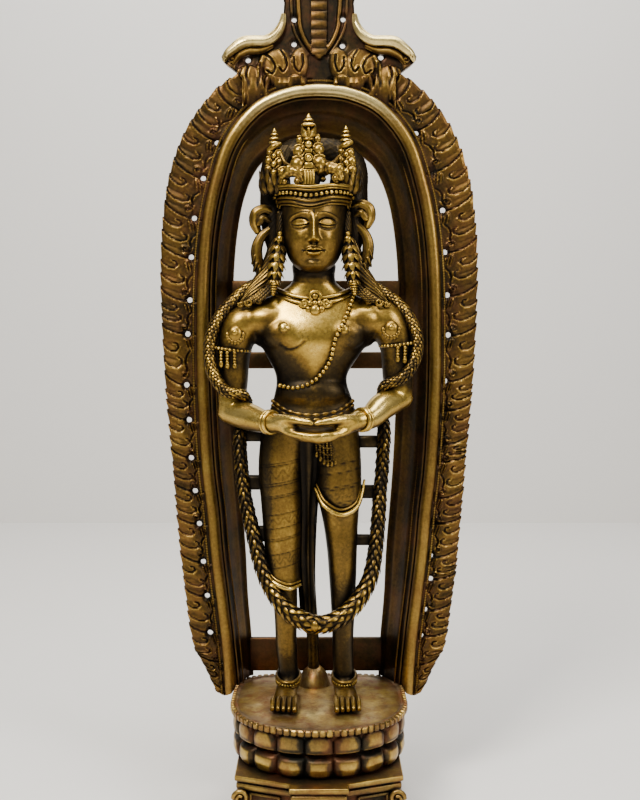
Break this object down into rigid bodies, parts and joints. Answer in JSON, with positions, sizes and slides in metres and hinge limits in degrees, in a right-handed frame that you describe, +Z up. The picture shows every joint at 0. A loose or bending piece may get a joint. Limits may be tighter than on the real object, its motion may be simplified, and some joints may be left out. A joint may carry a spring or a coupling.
{
  "type": "brass deity idol",
  "caption": "Standing crowned figure in brass before an openwork pointed aureole, on a double lotus and a stepped plinth.",
  "frame": {"origin": "on the ground, under the figure's ankles, on the plinth's flat underside", "axes": "+Z up, the figure faces -Y, +X is the figure's left hand"},
  "size_m": [0.2626, 0.158, 0.699],
  "materials": {
    "figure_brass": "polished on the chest, arms, face and legs, amber brown in the relief and near black in the hollows",
    "pedestal_brass": "worn golden brass on the petals and rim, grey brown on top with reddish patches",
    "aureole_brass": "dark brown patina, bright on the round moulding and on the high leaves, near black inside"
  },
  "bodies": {
    "root": {"deity_figure": "figure_brass", "lotus_pedestal": "pedestal_brass", "aureole": "aureole_brass"}
  },
  "joints": []
}
